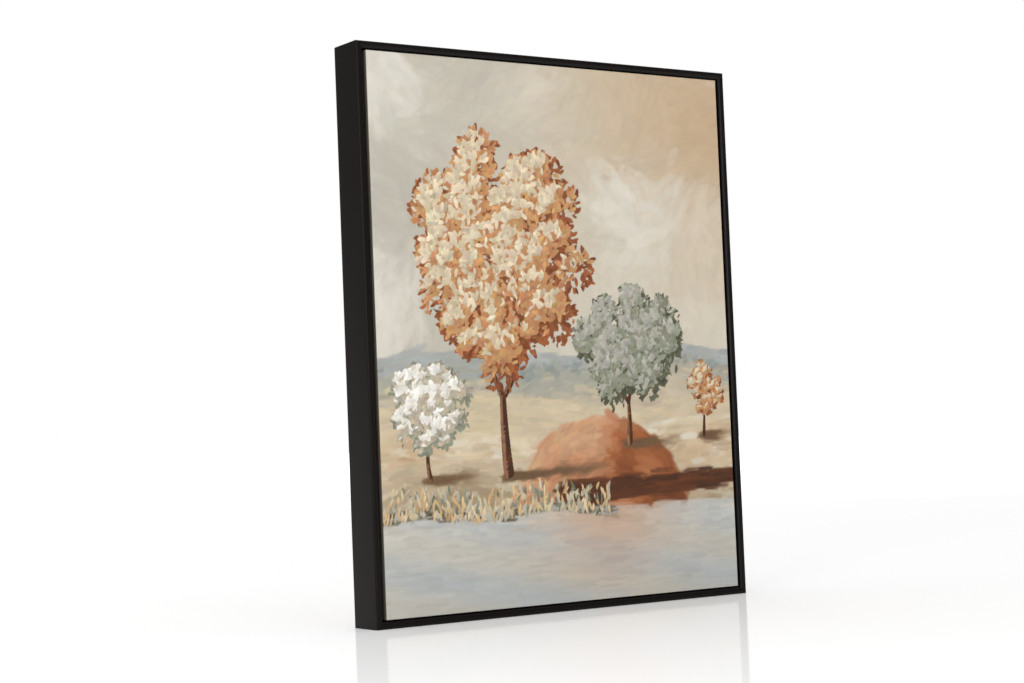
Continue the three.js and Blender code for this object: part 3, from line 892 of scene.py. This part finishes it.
def corner_folds(settings):
    """The cloth tucked over itself at the flap's corners, as far as it shows past the frame."""
    window = CLOTH_HIGH.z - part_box("frame_rail_top")[0].z
    outer, inner = window + FOLD_FROM_RAIL, settings.flap - FOLD_FROM_EDGE
    short, long = FOLD_WIDTHS
    outline = ((outer, outer), (inner, inner), (inner + short, inner), (outer + long, outer))
    bm = bmesh.new()
    corner = Vector((CLOTH_LOW.x, CLOTH_HIGH.y + FOLD_LIFT, CLOTH_LOW.z))
    tuck = bm.faces.new([bm.verts.new(corner + Vector((across, 0, up))) for across, up in outline])
    grown = bmesh.ops.extrude_face_region(bm, geom=[tuck])["geom"]
    raised = [item for item in grown if isinstance(item, bmesh.types.BMVert)]
    bmesh.ops.translate(bm, vec=(0, 2 * settings.thickness, 0), verts=raised)
    edges = [edge for edge in bm.edges if all(vert in raised for vert in edge.verts)]
    rounded = {"offset": FOLD_ROUND, "segments": 3, "profile": 0.5, "material": -1}
    bmesh.ops.bevel(bm, geom=edges, affect="EDGES", **rounded)
    for axis in ("X", "Z"):
        whole = bm.verts[:] + bm.edges[:] + bm.faces[:]
        to_middle = Matrix.Translation(-CLOTH_MIDDLE)
        bmesh.ops.mirror(bm, geom=whole, matrix=to_middle, merge_dist=-1, axis=axis)
    bmesh.ops.recalc_face_normals(bm, faces=bm.faces)
    return bm


def sheet_reach(settings):
    """How far the painted and primed cloth goes on past the front's outline, to the flap's edge."""
    rings = [(settings.front_round, 0)]
    rings += [(inset, depth) for inset, depth, slot in folds(settings) if slot != RAW]
    return sum(dist(a, b) for a, b in zip(rings, rings[1:]))


def read(items, name, size, kind=np.float32):
    values = np.zeros(len(items) * size, kind)
    items.foreach_get(name, values)
    return values.reshape(-1, size) if size > 1 else values


def map_cloth(mesh, half, painted_way):
    """Two maps: "cloth", in metres along the threads, and "OFBake", the cloth laid out flat."""
    flat = read(mesh.attributes["flat"].data, "vector", 3)
    corner = read(mesh.loops, "vertex_index", 1, np.int32)
    corners = read(mesh.polygons, "loop_total", 1, np.int32)
    normal = np.repeat(read(mesh.polygons, "normal", 3), corners, axis=0)
    slot = np.repeat(read(mesh.polygons, "material_index", 1, np.int32), corners)
    place = read(mesh.vertices, "co", 3)[corner]
    sideways, level = (np.abs(normal[:, axis]) > 0.75 for axis in (0, 2))
    threads = place[:, (0, 2)].copy()
    threads[sideways, 0] = place[sideways, 1]
    threads[level, 1] = place[level, 1]
    mesh.uv_layers.new(name="cloth").data.foreach_set("uv", threads.astype(np.float32).ravel())
    out, way = flat[corner, :2], flat[corner, 2:]
    raw = (slot == RAW)[:, None]
    reach = np.where(raw, way.max() - way, way)
    size = MAP_HALF / (half[1] + painted_way)
    spread = out * (np.array(half) + reach)
    painted_place = (MAP_MARGIN + (half[0] + painted_way) * size, 0.5)
    laid = np.where(raw, spread * size * RAW_SHARE + RAW_PLACE, spread * size + painted_place)
    baked = mesh.uv_layers.new(name="OFBake")
    baked.data.foreach_set("uv", laid.astype(np.float32).ravel())
    mesh.uv_layers.active = baked
    mesh.uv_layers["cloth"].active_render = True


def lay_paint(mesh, half, coats):
    """Gives each vertex of the cloth its paint. Round the sides the painting is mirrored."""
    flat = read(mesh.attributes["flat"].data, "vector", 3)
    place = flat[:, :2] * (1 - flat[:, 2:] / np.array(half))
    column = (place[:, 0] / 2 + 0.5) * COLUMNS
    row = (place[:, 1] / 2 + 0.5) * ROWS
    left, low = np.clip(column.astype(int), 0, COLUMNS - 1), np.clip(row.astype(int), 0, ROWS - 1)
    u, v = (column - left)[:, None], (row - low)[:, None]
    for name, coat in zip(COATS, coats):
        inside = 0.5 + np.clip(coat.inside, -SPREAD, SPREAD) / (2 * SPREAD)
        values = np.dstack((linear(coat.colour), inside))
        below = values[low, left] * (1 - u) + values[low, left + 1] * u
        above = values[low + 1, left] * (1 - u) + values[low + 1, left + 1] * u
        paint = mesh.attributes.new(name, "FLOAT_COLOR", "POINT")
        paint.data.foreach_set("color", (below * (1 - v) + above * v).astype(np.float32).ravel())
    mesh.attributes.remove(mesh.attributes["flat"])


# ---- stage ----

FLOOR_HALF = 30
FLOOR_COLOUR = (0.93, 0.93, 0.93)
FLOOR_ROUGHNESS, FLOOR_GLOSS, FLOOR_GLOW = 0.08, 0.011, 0.16
GLOW_GROWS, GLOW_FULL = 2.5, 8  # metres from the picture
PICTURE_MIDDLE = Vector((0, FRONT, CLOTH_MIDDLE.z))
# name, place, size (metres), power (watts)
LIGHTS = (
    ("front_light", Vector((-0.1, -3.4, 0.62)), (0.4, 1.0), 20),
    ("left_light", Vector((-1.8, -1.28, 0.8)), (0.6, 0.9), 13),
)
# Sides of the room: direction, cosines to it where light begins and is full, what it then adds.
ROOM_LIGHT = 0.06
ROOM_SIDES = (
    (Vector((-0.6, 0.8, 0)), -0.6, 0.8, 0.14),
    (Vector((0.56, 0.83, 0)), 0.6, 0.93, 0.7),
    (Vector((0, 0, 1)), 0.3, 0.85, 1.0),
)

# The camera stands to the left of the picture and a little below its middle, 1.88 m away.
CAMERA_PLACE = Vector((-1.09658, -1.54098, 0.16461))
CAMERA_RIGHT = Vector((0.826038, -0.562180, -0.040193))
CAMERA_FORWARD = Vector((0.563583, 0.824645, 0.048315))
CAMERA_LENS, CAMERA_SENSOR = 69.75, 36  # millimetres


def add_floor():
    """A pale glossy floor that glows a little, and more the farther off it is."""
    look = {"base_color": FLOOR_COLOUR, "roughness": FLOOR_ROUGHNESS, "specular": FLOOR_GLOSS}
    floor = Surface("pale_floor", **look)
    away = floor.node("ShaderNodeVectorMath", {"operation": "LENGTH"}, {0: floor.place()}, "Value")
    limits = {"From Min": GLOW_GROWS, "From Max": GLOW_FULL, "To Min": FLOOR_GLOW, "To Max": 1}
    glow = floor.node("ShaderNodeMapRange", {}, {"Value": away, **limits})
    floor.set(emission_color=floor.shade(FLOOR_COLOUR, glow), emission_strength=1)
    bm = bmesh.new()
    bmesh.ops.create_grid(bm, x_segments=1, y_segments=1, size=FLOOR_HALF)
    ground = placed(bm, "floor", [floor.material])


def set_world(scene):
    """A white room: full white where it is seen, and as a light dimmer and brightest from above."""
    world = bpy.data.worlds.new("white_room")
    scene.world = world
    world.use_nodes = True
    room = Graph(world.node_tree)
    where = room.node("ShaderNodeTexCoord", {}, {}, "Generated")
    light = ROOM_LIGHT
    for direction, begins, full, adds in ROOM_SIDES:
        cosine, soft = {"operation": "DOT_PRODUCT"}, {"interpolation_type": "SMOOTHSTEP"}
        facing = room.node("ShaderNodeVectorMath", cosine, {0: where, 1: direction}, "Value")
        limits = {"Value": facing, "From Min": begins, "From Max": full, "To Max": adds}
        light = light + room.node("ShaderNodeMapRange", soft, limits)
    seen = room.node("ShaderNodeLightPath", {}, {}, "Is Camera Ray")
    strength = seen + (1 - seen) * light
    sky = room.node("ShaderNodeBackground", {}, {"Color": (1, 1, 1), "Strength": strength})
    room.node("ShaderNodeOutputWorld", {}, {"Surface": sky}, None)


def add_light(scene, name, place, size, watts):
    """A soft rectangle of light that faces the picture."""
    lamp = bpy.data.lights.new(name, "AREA")
    lamp.shape, lamp.energy = "RECTANGLE", watts
    lamp.size, lamp.size_y = size
    light = bpy.data.objects.new(name, lamp)
    turn = (PICTURE_MIDDLE - place).to_track_quat("-Z", "Y").to_matrix().to_4x4()
    light.matrix_world = Matrix.Translation(place) @ turn
    scene.collection.objects.link(light)


def add_camera(scene):
    lens = bpy.data.cameras.new("camera")
    lens.sensor_width, lens.lens = CAMERA_SENSOR, CAMERA_LENS
    camera = bpy.data.objects.new("camera", lens)
    forward = CAMERA_FORWARD.normalized()
    up = CAMERA_RIGHT.cross(forward).normalized()
    turn = Matrix((forward.cross(up), up, -forward)).transposed()
    camera.matrix_world = Matrix.Translation(CAMERA_PLACE) @ turn.to_4x4()
    scene.collection.objects.link(camera)
    scene.camera = camera


# ---- operators: one for each group of pieces ----


class PICTURE_OT_cloth(bpy.types.Operator):
    """Stretch the painted canvas over the bars"""

    bl_idname = "picture.cloth"
    bl_label = "Painted canvas"

    def execute(self, context):
        settings = context.scene.picture_cloth
        half = front_half(settings)
        bm = cloth_mesh(settings)
        bmesh.ops.translate(bm, vec=(CLOTH_MIDDLE.x, FRONT, CLOTH_MIDDLE.z), verts=bm.verts)
        materials = [
            painted_cloth(settings),
            # The sides' dark paint also stands in for the shade in the gap round the canvas:
            # painted shade.
            plain_cloth(settings, "side_paint_and_gap_shade", settings.edge),
            plain_cloth(settings, "primed_canvas", settings.primer),
            plain_cloth(settings, "raw_canvas", settings.raw, 0.9, 0.14 * MM),
        ]
        piece = finish_piece(bm, "stretched_canvas", materials, ["canvas"])
        map_cloth(piece.data, half, sheet_reach(settings))
        lay_paint(piece.data, half, Landscape(settings.seed).paint())
        fold = plain_cloth(settings, "folded_canvas", settings.primer, lies_flat=True)
        tucked = corner_folds(settings)
        folds_piece = finish_piece(tucked, "corner_folds", [fold], [])
        return {"FINISHED"}


class PICTURE_OT_rails(bpy.types.Operator):
    """Lacquer the four rails of the floater frame"""

    bl_idname = "picture.rails"
    bl_label = "Frame rails"

    def execute(self, context):
        settings = context.scene.picture_frame
        lacquer = satin_lacquer(settings)
        for side in SIDES:
            name = f"lacquered_rail_{side}"
            copied(f"frame_rail_{side}", name, lacquer, settings.eased)
        return {"FINISHED"}


class PICTURE_OT_bars(bpy.types.Operator):
    """Plane the four pine bars of the stretcher"""

    bl_idname = "picture.bars"
    bl_label = "Stretcher bars"

    def execute(self, context):
        settings = context.scene.picture_stretcher
        for side in SIDES:
            wood = pine(settings, side)
            copied(f"stretcher_bar_{side}", f"pine_bar_{side}", wood, settings.eased)
        return {"FINISHED"}


class PICTURE_OT_fasteners(bpy.types.Operator):
    """Finish the staples, the screws and the joint nails"""

    bl_idname = "picture.fasteners"
    bl_label = "Staples, screws and joint nails"

    def execute(self, context):
        settings = context.scene.picture_hardware
        zinc = metal("zinc_plate", settings.zinc, 0.36)
        black = metal("black_oxide", settings.black_steel, 0.42, tarnish=0.5)
        copies("staple_", "wire_staple_", zinc, STAPLE_EDGE)
        copies("screw_", "countersunk_screw_", black, SCREW_EDGE)
        copies("frame_v_nail_", "frame_joint_nail_", zinc, NAIL_EDGE)
        copies("stretcher_v_nail_", "stretcher_joint_nail_", zinc, NAIL_EDGE)
        return {"FINISHED"}


class PICTURE_OT_hanger(bpy.types.Operator):
    """Nail the toothed hanger to the top rail"""

    bl_idname = "picture.hanger"
    bl_label = "Toothed hanger"

    def execute(self, context):
        settings = context.scene.picture_hardware
        plate = metal("brass_plate", settings.brass, 0.3, scratch=(6, 60, 120))
        copied("sawtooth_hanger", "toothed_hanger", plate, HANGER_EDGE)
        copies("hanger_nail_", "round_head_hanger_nail_", plate, HANGER_EDGE)
        return {"FINISHED"}


class PICTURE_OT_bumpers(bpy.types.Operator):
    """Stick the rubber bumpers to the lower corners"""

    bl_idname = "picture.bumpers"
    bl_label = "Rubber bumpers"

    def execute(self, context):
        settings = context.scene.picture_hardware
        soft = rubber(settings)
        for node in nodes_like("bumper_"):
            low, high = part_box(node)
            middle, base = (low + high) / 2, (high.x - low.x) / 2
            bm = turned(bumper_profile(base, low.y, high.y), settings.round_steps)
            bmesh.ops.translate(bm, vec=(middle.x, 0, middle.z), verts=bm.verts)
            finish_piece(bm, f"rubber_{node}", [soft], [node])
        return {"FINISHED"}


class PICTURE_OT_stage(bpy.types.Operator):
    """Set the floor, the soft lights and the camera"""

    bl_idname = "picture.stage"
    bl_label = "Floor, light and camera"

    def execute(self, context):
        add_floor()
        set_world(context.scene)
        for light in LIGHTS:
            add_light(context.scene, *light)
        add_camera(context.scene)
        return {"FINISHED"}


# ---- panel and running order ----


class PICTURE_PT_build(bpy.types.Panel):
    """The picture's settings and its pieces"""

    bl_label = "Framed picture"
    bl_space_type = "VIEW_3D"
    bl_region_type = "UI"
    bl_category = "Picture"

    def draw(self, context):
        for name, group in SETTINGS.items():
            column = self.layout.column(align=True)
            column.label(text=group.__doc__)
            for setting in group.__annotations__:
                column.prop(getattr(context.scene, name), setting)
        for operator in OPERATORS:
            self.layout.operator(operator.bl_idname)


SETTINGS = {
    "picture_cloth": ClothSettings,
    "picture_frame": FrameSettings,
    "picture_stretcher": StretcherSettings,
    "picture_hardware": HardwareSettings,
}
OPERATORS = (
    PICTURE_OT_stage,
    PICTURE_OT_cloth,
    PICTURE_OT_rails,
    PICTURE_OT_bars,
    PICTURE_OT_fasteners,
    PICTURE_OT_hanger,
    PICTURE_OT_bumpers,
)


def register():
    for item in (*SETTINGS.values(), *OPERATORS, PICTURE_PT_build):
        bpy.utils.register_class(item)
    for name, group in SETTINGS.items():
        setattr(bpy.types.Scene, name, PointerProperty(type=group))


def unregister():
    for name in SETTINGS:
        delattr(bpy.types.Scene, name)
    for item in reversed((*SETTINGS.values(), *OPERATORS, PICTURE_PT_build)):
        bpy.utils.unregister_class(item)


def main():
    register()
    scene = bpy.context.scene
    scene.view_settings.view_transform = "Standard"
    for operator in OPERATORS:
        group, name = operator.bl_idname.split(".")
        getattr(getattr(bpy.ops, group), name)()


if __name__ == "__main__":
    main()
